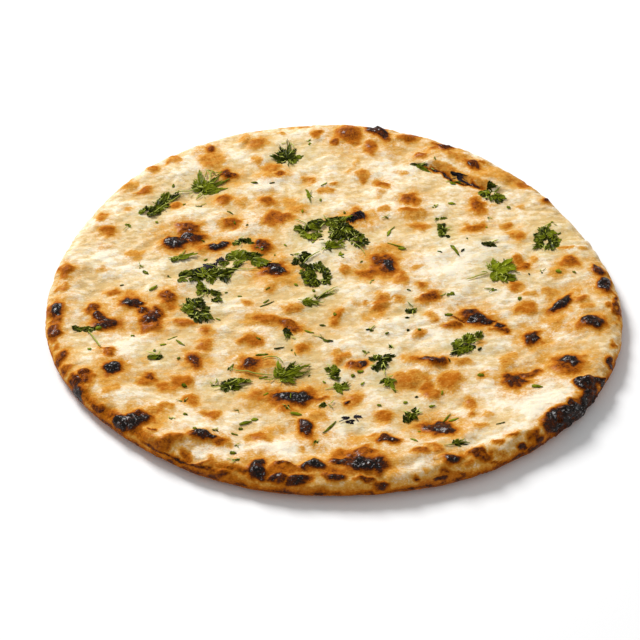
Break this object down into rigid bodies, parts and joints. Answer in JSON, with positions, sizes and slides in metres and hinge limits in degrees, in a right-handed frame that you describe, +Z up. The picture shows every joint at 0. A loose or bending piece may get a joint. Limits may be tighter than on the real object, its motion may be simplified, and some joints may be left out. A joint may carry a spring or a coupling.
{
  "type": "naan bread",
  "caption": "Round flat tandoor bread with a thick rolled rim, toasted blisters and chopped coriander leaves on top.",
  "frame": {"origin": "centre of the bounding box in plan, at the height of the flat underside", "axes": "+Z is up out of the toasted top; -Y is the side with the thickest, most browned rim; +X is to the right seen from there"},
  "size_m": [0.2814, 0.2736, 0.0144],
  "materials": {
    "bread": "soft baked dough, cream with golden to black toasted spots, slightly glossy where buttered",
    "coriander": "wilted green herb, slightly glossy",
    "charred_coriander": "burnt dark leaf, brittle and slightly glossy"
  },
  "bodies": {
    "root": {"coriander_back": "coriander", "coriander_back_left": "coriander", "coriander_band_charred": "charred_coriander", "coriander_band_end": "coriander", "coriander_band_left": "coriander", "coriander_band_right": "coriander", "coriander_below_band": "coriander", "coriander_below_band_tip": "coriander", "coriander_bright": "coriander", "coriander_centre": "coriander", "coriander_centre_stalk": "coriander", "coriander_centre_strand": "coriander", "coriander_centre_tip": "coriander", "coriander_crumpled": "coriander", "coriander_far_left": "coriander", "coriander_far_right": "coriander", "coriander_flap_back": "coriander", "coriander_flap_front": "coriander", "coriander_flap_middle": "charred_coriander", "coriander_front": "coriander", "coriander_front_charred": "charred_coriander", "coriander_front_dark": "coriander", "coriander_front_edge": "coriander", "coriander_front_left": "coriander", "coriander_front_low": "coriander", "coriander_front_mid": "coriander", "coriander_front_pale": "coriander", "coriander_front_right": "coriander", "coriander_left": "coriander", "coriander_left_front": "coriander", "coriander_middle_back": "coriander", "coriander_middle_charred": "charred_coriander", "coriander_middle_dark": "coriander", "coriander_middle_front": "coriander", "coriander_middle_grey": "coriander", "coriander_middle_right": "coriander", "coriander_oval": "coriander", "coriander_right": "coriander", "coriander_right_back": "coriander", "coriander_right_small": "coriander", "coriander_rim_front": "coriander", "coriander_shred": "coriander", "naan": "bread"}
  },
  "joints": []
}
